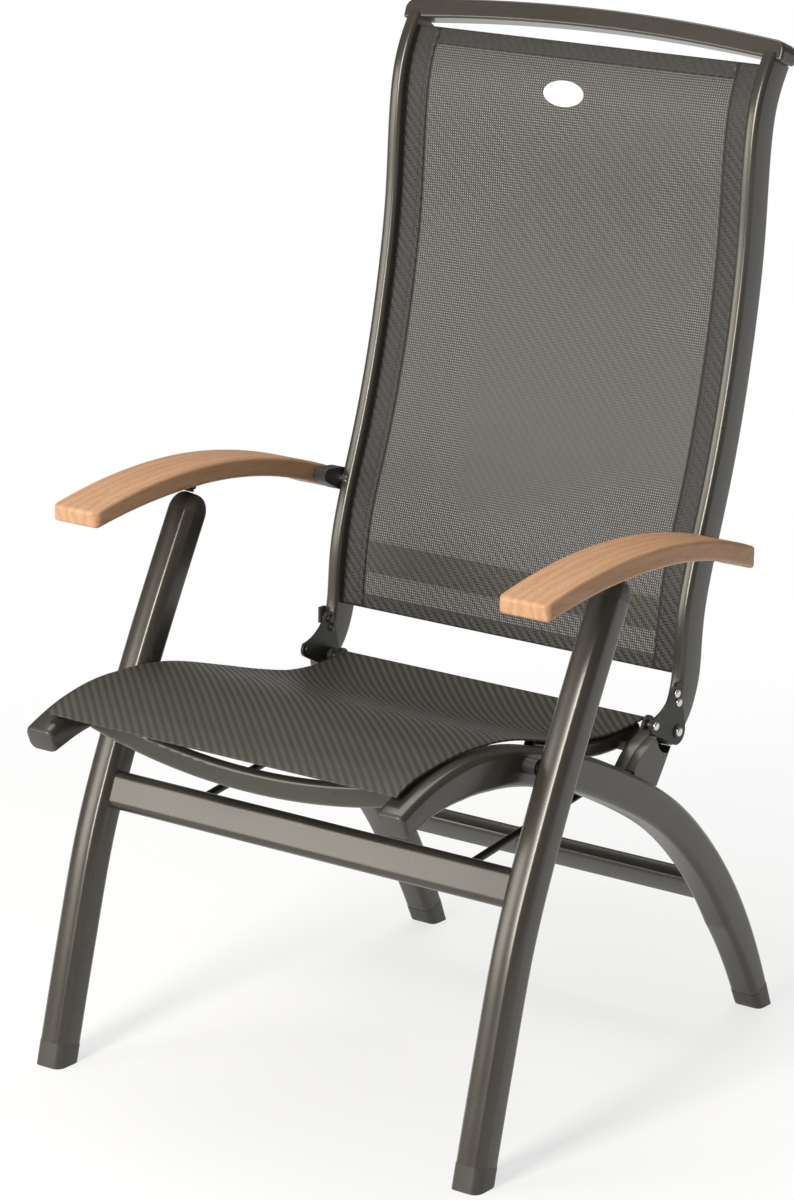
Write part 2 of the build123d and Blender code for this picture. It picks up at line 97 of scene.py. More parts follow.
crossbar_round = 0.006
crossbar_in = 0.002  # how far each end reaches into its arch
pin_at = (0.439, 0.425)
pin_radius = 0.004
pin_corners = 24
pin_sides = (0.2390, 0.2433)
plate_mirror = -0.4698  # a place across and its mirror in the left plate's middle add up to this
buffer_height = 0.018
buffer_round = 0.0015
buffer_gap = 0.0003
buffer_in = 0.002  # how far the buffer reaches into the tube
post_line = [(0.380, 0.333), (0.373, 0.351), (0.383, 0.361), (0.392, 0.368), (0.403, 0.3735),
             (0.414, 0.3775), (0.4172, 0.379)]
post_top = [(0.4234, 0.381), (0.434, 0.3745), (0.441, 0.3665)]
post_back = [(0.4465, 0.3615), (0.432, 0.340), (0.419, 0.322), (0.400, 0.315)]
post_sides = (0.211, 0.237)
post_split = 0.2256  # beside the tube's inner face
post_left = 0.2186
post_edge = 0.001
post_face_share = 0.985
pivot_at = (0.443, 0.381)
pivot_clear = 0.0258
pivot_bite = (185, 265)  # degrees
badge_at = (-0.016, 1.0322)
badge_size = (0.053, 0.029)
badge_corners = 48
badge_lift = 0.0002
badge_steps = ((0.0, 1.0), (0.0012, 1.0), (0.0018, 0.985), (0.0020, 0.95))  # height and share of the size
sharp_degrees = 35

# Sling of the back: its front surface seen from the side, as depth and height.
back_line = [(0.4680, 0.437), (0.4725, 0.485), (0.4820, 0.540), (0.5100, 0.620), (0.5350, 0.700),
             (0.5575, 0.800), (0.5715, 0.900), (0.5780, 1.000), (0.5875, 1.050), (0.6040, 1.086)]
back_half = 0.2258
back_sag = 0.0035

# Sling of the seat: its upper surface seen from the side.
seat_line = [(-0.050, 0.4298), (-0.040, 0.4343), (-0.023, 0.440), (0.010, 0.445), (0.043, 0.448),
             (0.070, 0.4485), (0.094, 0.4475), (0.145, 0.4415), (0.215, 0.4235), (0.287, 0.4025),
             (0.341, 0.391), (0.388, 0.3865), (0.446, 0.3885)]
seat_half = 0.2285
seat_rear_half = 0.2035
seat_narrows = (0.262, 0.332)
seat_sag = 0.004

# Rows and columns of the slings' grids
back_grid = (170, 110)
seat_grid = (160, 110)
hem_columns = 90
back_side_columns = 10
seat_side_columns = 8
top_hem_rows = 6
low_hem_rows = 9

# Cloth, hems and thread
cloth_thick = 0.0007
layer_gap = 0.0011
side_hem = 0.0280
top_hem = 0.019
bottom_hem = 0.016
seat_hem = 0.026
seat_front_hem = 0.020
hem_weave_shift = 0.0011  # so that the weave of a second layer doesn't lie on the first's
seam_inside = 0.003
seam_gap = 0.004
low_seam_up = 0.002
top_seam_down = 0.0165
seat_seam = (0.018, 0.20)  # distance from the front edge, half length
seam_lift = 0.0001
thread_pitch = 0.0029
stitch_length = 0.0034
stitch_step = 0.0050
stitch_radius = 0.00045
stitch_bow = 0.0002

# Timber tones
timber_dark = (0.420, 0.230, 0.122, 1)
timber_light = (0.500, 0.300, 0.170, 1)
timber_cloud = (0.39, 0.19, 0.090, 1)
timber_pore = (0.22, 0.100, 0.045, 1)

# Floor: how white it is drawn under the chair, and how much whiter for each metre past the near distance.
floor_reach = 12
floor_drop = 0.0005
floor_near = 0.6
floor_white = 0.74
floor_whitens = 0.25
world_strength = 0.25

# Lamps: place, aim, size, watts, colour
lamps = {"key": ((0.1, -3.6, 2.3), (0, 0, 0.6), (0.9, 2.6), 200, (1, 0.97, 0.93)),
         "fill": ((-2.2, -3.0, 1.3), (0, 0, 0.4), (1.4, 1.6), 46, (1, 0.97, 0.93)),
         "over": ((-0.6, 0.6, 3.4), (0, 0, 0.4), (2.2, 2.2), 50, (1, 0.98, 0.95))}


# Camera
def make_camera():
    """The lens and the place that the photograph was solved for."""
    azimuth, elevation, roll = (math.radians(camera_degrees[k]) for k in ("azimuth", "elevation", "roll"))
    right = Vector((math.cos(azimuth), math.sin(azimuth), 0))
    back = Vector((math.sin(azimuth) * math.cos(elevation), -math.cos(azimuth) * math.cos(elevation),
                   math.sin(elevation)))
    up = back.cross(right)
    across = right * math.cos(roll) + up * math.sin(roll)
    upward = up * math.cos(roll) - right * math.sin(roll)
    data = bpy.data.cameras.new("camera")
    data.sensor_width = sensor_width
    data.lens = focal_pixels / picture_height * sensor_width
    data.shift_x, data.shift_y = lens_shift
    camera = bpy.data.objects.new("camera", data)
    turn = Matrix((across, upward, back)).transposed().to_4x4()
    camera.matrix_world = Matrix.Translation(camera_place) @ turn
    bpy.context.scene.collection.objects.link(camera)
    bpy.context.scene.camera = camera


make_camera()


# Meshes from grids
def run_along(points):
    """The distance run at each point of a line from its first."""
    return np.concatenate([[0], np.cumsum(np.linalg.norm(np.diff(points, axis=0), axis=1))])


def smooth_line(points, count):
    """A cubic spline through the points with free ends: the bends at the points solve one linear system, and
    between two points the line is the usual mix of both ends' heights and bends. It is read at count places
    that are equal steps of length apart."""
    p = np.array(points, float)
    t = run_along(p)
    h = np.diff(t)
    n = len(t)
    system = np.eye(n)
    rise = np.zeros((n, 2))
    inner = np.arange(1, n - 1)
    system[inner, inner - 1] = h[:-1]
    system[inner, inner] = 2 * (h[:-1] + h[1:])
    system[inner, inner + 1] = h[1:]
    slope = np.diff(p, axis=0) / h[:, None]
    rise[1:-1] = 6 * (slope[1:] - slope[:-1])
    bend = np.linalg.solve(system, rise)
    at = np.linspace(0, t[-1], 40 * n)
    i = np.clip(np.searchsorted(t, at) - 1, 0, n - 2)
    b = ((at - t[i]) / h[i])[:, None]
    a = 1 - b
    step = (h[i] ** 2 / 6)[:, None]
    fine = a * p[i] + b * p[i + 1] + ((a ** 3 - a) * bend[i] + (b ** 3 - b) * bend[i + 1]) * step
    length = run_along(fine)
    even = np.linspace(0, length[-1], count)
    return np.stack([np.interp(even, length, fine[:, k]) for k in (0, 1)], axis=1), length[-1]


def grid_mesh(name, grids, spreads=None, smooth=True):
    """One mesh from several grids of points, rows by columns by 3. Each cell of a grid is one face. spreads
    are the grids' flat places in metres, rows by columns by 2, kept as the mesh's UV map."""
    points, faces, flats, first = [], [], [], 0
    for k, grid in enumerate(grids):
        rows, columns = grid.shape[:2]
        index = first + np.arange(rows * columns).reshape(rows, columns)
        cells = np.stack([index[:-1, :-1], index[:-1, 1:], index[1:, 1:], index[1:, :-1]], axis=-1)
        points.append(grid.reshape(-1, 3))
        faces.append(cells.reshape(-1, 4))
        if spreads is not None:
            flats.append(spreads[k].reshape(-1, 2))
        first += rows * columns
    points, faces = np.concatenate(points), np.concatenate(faces)
    mesh = bpy.data.meshes.new(name)
    mesh.from_pydata(points.tolist(), [], faces.tolist())
    if spreads is not None:
        flat = np.concatenate(flats)[faces.reshape(-1)]
        layer = mesh.uv_layers.new(name="spread")
        layer.data.foreach_set("uv", flat.astype(np.float32).reshape(-1))
    mesh.polygons.foreach_set("use_smooth", np.full(len(mesh.polygons), smooth))
    mesh.update()
    piece = bpy.data.objects.new(name, mesh)
    bpy.context.scene.collection.objects.link(piece)
    return piece


def thicken(piece, thick, offset):
    wall = piece.modifiers.new("wall", "SOLIDIFY")
    wall.thickness = thick
    wall.offset = offset


# Rigid pieces on a side line
def loop_mesh(name, rings):
    """A closed tube mesh from rings of points, rings by columns by 3, with a flat face on each end."""
    rows, columns = rings.shape[:2]
    index = np.arange(rows * columns).reshape(rows, columns)
    turned = np.roll(index, -1, axis=1)
    cells = np.stack([index[:-1], turned[:-1], turned[1:], index[1:]], axis=-1).reshape(-1, 4)
    faces = cells.tolist() + [index[0][::-1].tolist(), index[-1].tolist()]
    mesh = bpy.data.meshes.new(name)
    mesh.from_pydata(rings.reshape(-1, 3).tolist(), [], faces)
    mesh.polygons.foreach_set("use_smooth", np.full(len(mesh.polygons), True))
    mesh.update()
    mesh.set_sharp_from_angle(angle=math.radians(sharp_degrees))
    piece = bpy.data.objects.new(name, mesh)
    bpy.context.scene.collection.objects.link(piece)
    return piece


def corner_loop(low, high, front, back, radius, bulge=0.0):
    """Rings of a rounded rectangle across and along the depth, one for each entry of front and back. Each
    corner is a quarter circle, and bulge pushes the front out by that much times one less the square of the
    share across."""
    turn = np.linspace(0, np.pi / 2, 7)
    front, back = np.atleast_1d(front)[:, None], np.atleast_1d(back)[:, None]
    low, high = np.atleast_1d(low)[:, None], np.atleast_1d(high)[:, None]
    r = np.minimum(radius, np.minimum((back - front) * 0.49, (high - low) * 0.49))
    c, s = np.cos(turn)[None], np.sin(turn)[None]
    x = np.concatenate([low + r - r * c, high - r + r * c[:, ::-1], high - r + r * c,
                        low + r - r * c[:, ::-1]], axis=1)
    d = np.concatenate([front + r - r * s, front + r - r * s[:, ::-1], back - r + r * s,
                        back - r + r * s[:, ::-1]], axis=1)
    share = (2 * x - low - high) / (high - low)
    near = np.clip((back - d) / (back - front), 0, 1) ** 6
    return x, d - bulge * (1 - share ** 2) * near


def carried(name, rows, sides, front, back, radius, bulge=0.0, inset=0.0):
    """A tube along rows of places on its side line: front and back are depths from the line along its
    normal, sides are the places across, and inset narrows both sides row by row. What would lie below the
    floor is pressed flat on it."""
    along = np.gradient(rows, axis=0)
    along /= np.linalg.norm(along, axis=1)[:, None]
    count = len(rows)
    inset = np.broadcast_to(inset, count)
    x, d = corner_loop(sides[0] + inset, sides[1] - inset, np.broadcast_to(front, count),
                       np.broadcast_to(back, count), radius, bulge)
    y = rows[:, 0, None] + along[:, 1, None] * d - depth_middle
    z = np.maximum(rows[:, 1, None] - along[:, 0, None] * d, 0)
    return loop_mesh(name, np.stack([x, y, z], axis=-1))


def both_sides(name, sides, make, body):
    """The piece that make gives for the right side and its mirror for the left."""
    made = []
    for side, (low, high) in (("right", sides), ("left", (-sides[1], -sides[0]))):
        piece = make(f"{name}_{side}", (low, high))
        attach(piece, body)
        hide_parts(f"{name}_{side}")
        made.append(piece)
    return made


def round_over(share):
    """How far a quarter circle has come in at a share of its length, as a share of its radius."""
    return 1 - np.sqrt(1 - np.minimum(share, 0.999) ** 2)


def make_back_tube(name, sides):
    """The lower end is half round about the back pivot: there the front and back come in by the radius less
    the root of its square less the square of the distance to the pivot."""
    run = run_along(tube_rows)
    depth = np.interp(run, [0, 2 * tube_end, 4 * tube_end], [2 * tube_end, 2 * tube_end, tube_depth])
    near = np.clip(tube_end - run, 0, tube_end * 0.995)
    come_in = tube_end - np.sqrt(tube_end ** 2 - near ** 2)
    return carried(name, tube_rows, sides, come_in, depth - come_in, tube_round)


def cut_rows(rows, low, high, count):
    """The part of a side line between two heights, at even steps."""
    order = np.argsort(rows[:, 1])
    z = np.linspace(low, high, count)
    return np.stack([np.interp(z, rows[order, 1], rows[order, 0]), z], axis=1)


tube_rows = smooth_line(tube_line, tube_rings)[0]
leg_rows = smooth_line(leg_line, leg_rings)[0]
arch_rows = smooth_line(arch_line, arch_rings)[0]
arch_run = np.interp(arch_rows[:, 0], *np.array(arch_depths).T)


def make_leg(name, sides):
    rows = leg_rows[leg_rows[:, 1] > ground_cut]
    return carried(name, rows, sides, 0.0, leg_depth, leg_round, bulge=leg_bulge)


def make_leg_cap(name, sides):
    """The leg's section carried on past its end, rounded over on all sides by a quarter circle."""
    way = leg_rows[-1] - leg_rows[-2]
    way /= np.linalg.norm(way)
    share = np.sin(np.linspace(0, np.pi / 2, 9))
    rows = leg_rows[-1] + share[:, None] * leg_cap * way
    come_in = leg_cap_round * round_over(share)
    return carried(name, rows, sides, come_in, leg_depth - come_in, leg_round, leg_bulge, come_in)


def make_front_cap(name, sides):
    rows = cut_rows(leg_rows, 0.0, front_cap_height, foot_cap_rings)
    wide = (sides[0] - cap_wall, sides[1] + cap_wall)
    return carried(name, rows, wide, -cap_wall, leg_depth + cap_wall, leg_round, bulge=leg_bulge)


def make_arch(name, sides):
    kept = arch_rows[:, 1] > ground_cut
    return carried(name, arch_rows[kept], sides, 0.0, arch_run[kept], arch_round)


def make_arch_plug(name, sides):
    """The arch's section carried on past its front end, a little smaller and rounded over."""
    way = arch_rows[0] - arch_rows[1]
    way /= np.linalg.norm(way)
    share = np.sin(np.linspace(0, np.pi / 2, 6))[::-1]
    rows = arch_rows[0] + share[:, None] * arch_plug * way
    come_in = arch_plug_round * round_over(share) + arch_plug_inset
    return carried(name, rows, sides, come_in, arch_run[0] - come_in, arch_round, inset=come_in)


def make_rear_cap(name, sides):
    behind = arch_rows[arch_rows[:, 0] > arch_behind]
    rows = cut_rows(behind, 0.0, rear_cap_height, foot_cap_rings)[::-1]
    depth = np.interp(rows[:, 0], *np.array(arch_depths).T)
    wide = (sides[0] - cap_wall, sides[1] + cap_wall)
    return carried(name, rows, wide, -cap_wall, depth + cap_wall, arch_round)


def make_buffer(name, sides):
    """A block between the pick-up pin and the tube's front."""
    near = pin_at[0] + pin_radius + buffer_gap
    rows = np.array([[near, pin_at[1] + way * buffer_height / 2] for way in (-1, 1)])
    front = float(np.interp(pin_at[1], tube_rows[:, 1], tube_rows[:, 0]))
    return carried(name, rows, sides, 0.0, front + buffer_in - near, buffer_round)


def make_crossbar():
    """A rounded rectangle carried straight across between the arches."""
    lean = math.radians(crossbar_lean)
    places, heights = corner_loop(-crossbar_size[1] / 2, crossbar_size[1] / 2, -crossbar_size[0] / 2,
                                  crossbar_size[0] / 2, crossbar_round)
    y = crossbar_at[0] - depth_middle + places * math.sin(lean) + heights * math.cos(lean)
    z = crossbar_at[1] + places * math.cos(lean) - heights * math.sin(lean)
    ends = np.array([-1, 1])[:, None] * (arch_sides[0] + crossbar_in)
    x = np.broadcast_to(ends, (2, y.shape[1]))
    rings = np.stack([x, np.repeat(y, 2, 0), np.repeat(z, 2, 0)], axis=-1)
    piece = loop_mesh("rear_crossbar_flat", rings)
    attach(piece, "frame")
    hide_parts("rear_crossbar")
    return piece


def make_post(name, sides):
    """A sheet post on the arch, up to beside the tube. The left one stops before the plate on the tube's
    inner face."""
    sides = (-post_left, sides[1]) if sides[0] < 0 else (sides[0], post_split)
    return flat_plate(name, sides, np.concatenate([post_line, post_top, post_back]))


def make_post_cheek():
    """The post's outer part under the right tube, hollowed by an arc round the turning tube end."""
    turn = np.radians(np.linspace(*pivot_bite, 9))
    bite = np.array(pivot_at) + pivot_clear * np.stack([np.cos(turn), np.sin(turn)], axis=1)
    outline = np.concatenate([post_line, bite, post_back])
    piece = flat_plate("hinge_post_cheek", (post_split, post_sides[1]), outline)
    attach(piece, "frame")
    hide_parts("hinge_post_right")
    return piece


def flat_plate(name, sides, outline):
    """A plate of even thickness with slightly smaller outer faces."""
    across = np.array([sides[0], sides[0] + post_edge, sides[1] - post_edge, sides[1]])
    x = np.repeat(across[:, None], len(outline), 1)
    middle = outline.mean(axis=0)
    shrink = np.array([post_face_share, 1, 1, post_face_share])[:, None, None]
    places = middle + (outline - middle)[None] * shrink
    return loop_mesh(name, np.stack([x, places[..., 0] - depth_middle, places[..., 1]], axis=-1))


def half_copy(name, node, side):
    """The part of a CAD node on one side, as a piece of its own. On the left the photograph seems to show
    the plate on the inner face of the tube, so there the group is mirrored to that face."""
    source = nodes[node]
    points = np.empty(len(source.data.vertices) * 3)
    source.data.vertices.foreach_get("co", points)
    turn, shift = np.array(source.matrix_world.to_3x3()), np.array(source.matrix_world.translation)
    points = points.reshape(-1, 3) @ turn.T + shift
    source.data.calc_loop_triangles()
    corners = np.empty(len(source.data.loop_triangles) * 3, int)
    source.data.loop_triangles.foreach_get("vertices", corners)
    corners = corners.reshape(-1, 3)
    sign = 1 if side == "right" else -1
    kept = corners[(points[corners, 0] * sign > 0).all(axis=1)]
    used, kept = np.unique(kept, return_inverse=True)
    kept = kept.reshape(-1, 3)
    moved = points[used]
    if side == "left":
        moved[:, 0] = plate_mirror - moved[:, 0]
        kept = kept[:, ::-1]
    mesh = bpy.data.meshes.new(name)
    mesh.from_pydata(moved.tolist(), [], kept.tolist())
    mesh.polygons.foreach_set("use_smooth", np.full(len(mesh.polygons), True))
    mesh.set_sharp_from_angle(angle=math.radians(sharp_degrees))
    piece = bpy.data.objects.new(name, mesh)
    bpy.context.scene.collection.objects.link(piece)
    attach(piece, "hinge")
    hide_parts(node)
    return piece


def make_pins():
    """Both pick-up pins: short round pins beside the plates, in front of the tubes."""
    turn = np.linspace(0, 2 * np.pi, pin_corners + 1)[:-1]
    ring = np.stack([pin_at[0] - depth_middle + pin_radius * np.cos(turn),
                     pin_at[1] + pin_radius * np.sin(turn)], axis=-1)
    made = []
    for side, sign in (("right", 1), ("left", -1)):
        ends = np.array(pin_sides) if sign > 0 else plate_mirror + np.array(pin_sides)
        x = ends[:, None, None] * np.ones((1, len(turn), 1))
        piece = loop_mesh(f"pick_up_pin_{side}", np.concatenate([x, np.repeat(ring[None], 2, 0)], axis=-1))
        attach(piece, "hinge")
        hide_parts("pick_up_pins")
        made.append(piece)
    return made


back_tubes = both_sides("back_tube", tube_sides, make_back_tube, "backrest")
front_legs = both_sides("front_leg", leg_sides, make_leg, "front_legs")
leg_caps = both_sides("leg_top_cap", leg_sides, make_leg_cap, "front_legs")
front_caps = both_sides("front_foot_cap", leg_sides, make_front_cap, "front_legs")
arches = both_sides("arch", arch_sides, make_arch, "frame")
arch_plugs = both_sides("arch_end_cap", arch_sides, make_arch_plug, "frame")
rear_caps = both_sides("rear_foot_cap", arch_sides, make_rear_cap, "frame")
posts = both_sides("hinge_post", post_sides, make_post, "frame")
posts.append(make_post_cheek())
left_plate = half_copy("hinge_plate_inner", "hinge_plate_left", "left")
right_heads = half_copy("bolt_heads_right", "plate_bolt_heads", "right")
left_heads = half_copy("bolt_heads_left", "plate_bolt_heads", "left")
washers = [half_copy(f"pivot_washer_{side}", "pivot_washers", side)
           for side in ("right", "left")]
nuts = [half_copy(f"plate_nut_{side}", "plate_nuts", side) for side in ("right", "left")]
buffers = both_sides("tube_buffer", pin_sides, make_buffer, "backrest")
crossbar = make_crossbar()
pins = make_pins()


# Slings
class Sling:
    """A stretched sheet on a line seen from the side. A point at share s of the line and place x across it
    lies on the line, moved off it along the line's own normal: the stretched middle gives way by sag times
    one less the square of the share across, faded out at both ends of the line."""

    def __init__(self, line, half, sag, rows=240):
        self.places, self.length = smooth_line(line, rows)
        self.shares = np.linspace(0, 1, rows)
        along = np.gradient(self.places, axis=0)
        along /= np.linalg.norm(along, axis=1)[:, None]
        self.normals = np.stack([-along[:, 1], along[:, 0]], axis=1)
        self.half = half
        self.sag = sag

    def at(self, s, x, off=0.0):
        """The points for arrays s and x, off in front of the sheet."""
        y, z = (np.interp(s, self.shares, self.places[:, k]) for k in (0, 1))
        ny, nz = (np.interp(s, self.shares, self.normals[:, k]) for k in (0, 1))
        share = x / self.half(y)
        ends = 1 - (2 * s - 1) ** 6
        move = off - self.sag * (1 - share ** 2) * ends
        return np.stack([x, y + ny * move - depth_middle, z + nz * move], axis=-1)

    def patch(self, s0, s1, t0, t1, rows, columns, off=0.0, shift=0.0):
        """A grid between two shares of the line and two shares of the half width, with its flat places,
        which shift moves."""
        s, t = np.meshgrid(np.linspace(s0, s1, rows), np.linspace(t0, t1, columns), indexing="ij")
        y = np.interp(s, self.shares, self.places[:, 0])
        x = t * self.half(y)
        return self.at(s, x, off), np.stack([x + shift, s * self.length + shift], axis=-1)


def back_width(y):
    return np.full_like(y, back_half)


def seat_width(y):
    share = np.clip((y - seat_narrows[0]) / (seat_narrows[1] - seat_narrows[0]), 0, 1)
    return seat_half + (seat_rear_half - seat_half) * share


def stitches(name, sling, runs, off):
    """Rows of thread loops on a sheet. Each run is two ends, as distance along the sheet and place across
    it. A loop is a rod whose radius is the root of one less the square of its share of half the length,
    and which bows a little off the sheet."""
    centres, ways = [], []
    for (s0, x0), (s1, x1) in runs:
        run = np.array([s1 - s0, x1 - x0])
        count = max(2, int(np.linalg.norm(run) / stitch_step))
        share = (np.arange(count) + 0.5) / count
        centres.append(np.array([s0, x0]) + share[:, None] * run)
        ways.append(np.tile(run / np.linalg.norm(run), (count, 1)))
    centres, ways = np.concatenate(centres), np.concatenate(ways)
    lengthwise = np.linspace(-1, 1, 5)
    angle = np.linspace(0, 2 * np.pi, 7)
    plump = np.sqrt(np.maximum(1 - lengthwise ** 2, 0.02)) * stitch_radius
    flat = centres[:, None, None, :] + (ways[:, None, None, :] * lengthwise[None, :, None, None]
                                        * stitch_length / 2)
    side = np.stack([-ways[:, 1], ways[:, 0]], axis=1)
    flat = flat + side[:, None, None, :] * (plump[:, None] * np.cos(angle))[None, :, :, None]
    lift = off + (plump[:, None] * np.sin(angle))[None] + stitch_bow * (1 - lengthwise[None, :, None] ** 2)
    s = np.clip(flat[..., 0] / sling.length, 0, 1)
    points = sling.at(s, flat[..., 1], np.broadcast_to(lift, s.shape))
    return grid_mesh(name, list(points))


back = Sling(back_line, back_width, back_sag)
seat = Sling(seat_line, seat_width, seat_sag)


def make_back_sling():
    panel, spread = back.patch(0, 1, -1, 1, *back_grid)
    sheet = grid_mesh("back_mesh", [panel], [spread])
    thicken(sheet, cloth_thick, -1)
    side = 1 - side_hem / back_half
    top = 1 - top_hem / back.length
    low = bottom_hem / back.length
    parts = []
    for off in (layer_gap, -layer_gap):
        parts += [back.patch(0, 1, -1, -side, back_grid[0], back_side_columns, off, hem_weave_shift),
                  back.patch(0, 1, side, 1, back_grid[0], back_side_columns, off, hem_weave_shift),
                  back.patch(top, 1, -side, side, top_hem_rows, hem_columns, off, hem_weave_shift),
                  back.patch(0, low, -side, side, low_hem_rows, hem_columns, off, hem_weave_shift)]
    hem = grid_mesh("back_hems", [p[0] for p in parts], [p[1] for p in parts])
    thicken(hem, cloth_thick, -1)
    inner = back_half - side_hem + seam_inside
    outer = inner + seam_gap
    runs = [((0, x), (back.length, x)) for x in (-inner, inner, -outer, outer)]
    runs += [((s, -inner), (s, inner)) for s in (bottom_hem - low_seam_up, back.length - top_seam_down)]
    seam = stitches("back_seams", back, runs, layer_gap + seam_lift)
    return sheet, hem, seam


def make_seat_sling():
    panel, spread = seat.patch(0, 1, -1, 1, *seat_grid)
    sheet = grid_mesh("seat_mesh", [panel], [spread])
    thicken(sheet, cloth_thick, -1)
    side = 1 - seat_hem / seat_half
    front = seat_front_hem / seat.length
    parts = [seat.patch(0, 1, -1, -side, seat_grid[0], seat_side_columns, -layer_gap, hem_weave_shift),
             seat.patch(0, 1, side, 1, seat_grid[0], seat_side_columns, -layer_gap, hem_weave_shift),
             seat.patch(0, front, -side, side, top_hem_rows, hem_columns, -layer_gap, hem_weave_shift)]
    hem = grid_mesh("seat_hems", [p[0] for p in parts], [p[1] for p in parts])
    thicken(hem, cloth_thick, -1)
    runs = [((seat_seam[0], -seat_seam[1]), seat_seam)]
    seam = stitches("seat_seams", seat, runs, seam_lift)
    return sheet, hem, seam


def make_badge():
    """A bare oval plate on the back's mesh: rings of an ellipse, stepped in at the front edge."""
    share = float(np.interp(badge_at[1], back.places[:, 1], back.shares))
    turn = np.linspace(0, 2 * np.pi, badge_corners + 1)[:-1]
    rings = []
    for lift, size in badge_steps:
        x = badge_at[0] + size * badge_size[0] / 2 * np.cos(turn)
        s = share + size * badge_size[1] / 2 * np.sin(turn) / back.length
        rings.append(back.at(s, x, lift + badge_lift))
    piece = loop_mesh("badge_oval", np.stack(rings))
    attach(piece, "backrest")
    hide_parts("badge")
    return piece


badge = make_badge()
back_mesh, back_hems, back_seams = make_back_sling()
seat_mesh, seat_hems, seat_seams = make_seat_sling()
for piece, body in ((back_mesh, "backrest"), (back_hems, "backrest"), (back_seams, "backrest"),
                    (seat_mesh, "frame"), (seat_hems, "frame"), (seat_seams, "frame")):
    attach(piece, body)
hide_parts("back_sling")
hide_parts("seat_sling")


# Shading helpers
def add(tree, kind, label="", **values):
    """A node of that kind, with plain settings by name and socket values by their place, as in_0, in_1."""
    n = tree.nodes.new(kind)
    n.label = label
    for key, value in values.items():
        if key.startswith("in_"):
            n.inputs[int(key[3:])].default_value = value
        else:
            setattr(n, key, value)
    return n


def join(tree, a, b):
    tree.links.new(a, b)


def sum_of(tree, operation, a, b=None, c=None, clamp=False):
    """A Math node whose inputs are sockets or numbers."""
    n = add(tree, "ShaderNodeMath", operation=operation, use_clamp=clamp)
    for k, value in enumerate((a, b, c)):
        if value is None:
            continue
        if isinstance(value, (int, float)):
            n.inputs[k].default_value = value
        else:
            join(tree, value, n.inputs[k])
    return n.outputs[0]


def blend_of(tree, amount, a, b):
    """A colour mix of a and b, each a socket or a colour."""
    n = add(tree, "ShaderNodeMix", data_type="RGBA")
    for socket, value in ((n.inputs[0], amount), (n.inputs[6], a), (n.inputs[7], b)):
        if isinstance(value, (int, float, tuple)):
            socket.default_value = value
        else:
            join(tree, value, socket)
    return n.outputs[2]


def group(name, wants, gives):
    """A node group with those inputs, as name, kind and value, and those outputs, as name and kind."""
    tree = bpy.data.node_groups.new(name, "ShaderNodeTree")
    for label, kind, value in wants:
        socket = tree.interface.new_socket(name=label, in_out="INPUT", socket_type=kind)
        if value is not None:
            socket.default_value = value
    for label, kind in gives:
        tree.interface.new_socket(name=label, in_out="OUTPUT", socket_type=kind)
    return tree, tree.nodes.new("NodeGroupInput"), tree.nodes.new("NodeGroupOutput")


def place(tree, made, **values):
    """A group placed in a material with its own values."""
    n = add(tree, "ShaderNodeGroup")
    n.node_tree = made
    for key, value in values.items():
        n.inputs[key.replace("_", " ")].default_value = value
    return n


FLOAT, VECTOR = "NodeSocketFloat", "NodeSocketVector"


def make_weave():
    """Two over, two under: threads one pitch apart, and the upper one changes with the sum of both thread
    numbers, taken by fours. A thread's height is the root of one less the square of its share across. A
    hole is left where both threads are near their edges."""
    wants = [("Vector", VECTOR, None), ("Pitch", FLOAT, 0.003), ("Open", FLOAT, 0.2)]
    gives = [("Height", FLOAT), ("Hole", FLOAT), ("Rib", FLOAT), ("Thread", FLOAT)]
    tree, given, out = group("twill_weave", wants, gives)
    split = add(tree, "ShaderNodeSeparateXYZ")
    join(tree, given.outputs["Vector"], split.inputs[0])
    counts, places = [], []
    for k in (0, 1):
        scaled = sum_of(tree, "DIVIDE", split.outputs[k], given.outputs["Pitch"])
        counts.append(sum_of(tree, "FLOOR", scaled))
        inside = sum_of(tree, "SUBTRACT", scaled, counts[k])
        places.append(sum_of(tree, "ABSOLUTE", sum_of(tree, "SUBTRACT", inside, 0.5)))
    number = sum_of(tree, "FLOORED_MODULO", sum_of(tree, "ADD", counts[0], counts[1]), 4.0)
    over = sum_of(tree, "LESS_THAN", number, 2.0)
    crowns = [sum_of(tree, "SQRT", sum_of(tree, "SUBTRACT", 1.0, sum_of(tree, "MULTIPLY", p, sum_of(
        tree, "MULTIPLY", p, 3.6)), clamp=True)) for p in places]
    picked = add(tree, "ShaderNodeMix", data_type="FLOAT")
    join(tree, over, picked.inputs[0])
    join(tree, crowns[1], picked.inputs[2])
    join(tree, crowns[0], picked.inputs[3])
    edge = sum_of(tree, "SUBTRACT", 0.5, given.outputs["Open"])
    gaps = [sum_of(tree, "GREATER_THAN", p, edge) for p in places]
    hole = sum_of(tree, "MULTIPLY", gaps[0], gaps[1])
    both = sum_of(tree, "ADD", split.outputs[0], split.outputs[1])
    lean = sum_of(tree, "DIVIDE", both, given.outputs["Pitch"])
    wave = sum_of(tree, "COSINE", sum_of(tree, "MULTIPLY", lean, math.pi / 2))
    rib = sum_of(tree, "MULTIPLY_ADD", wave, 0.5, 0.5)
    join(tree, picked.outputs[0], out.inputs["Height"])
    join(tree, hole, out.inputs["Hole"])
    join(tree, rib, out.inputs["Rib"])
    join(tree, over, out.inputs["Thread"])
    return tree


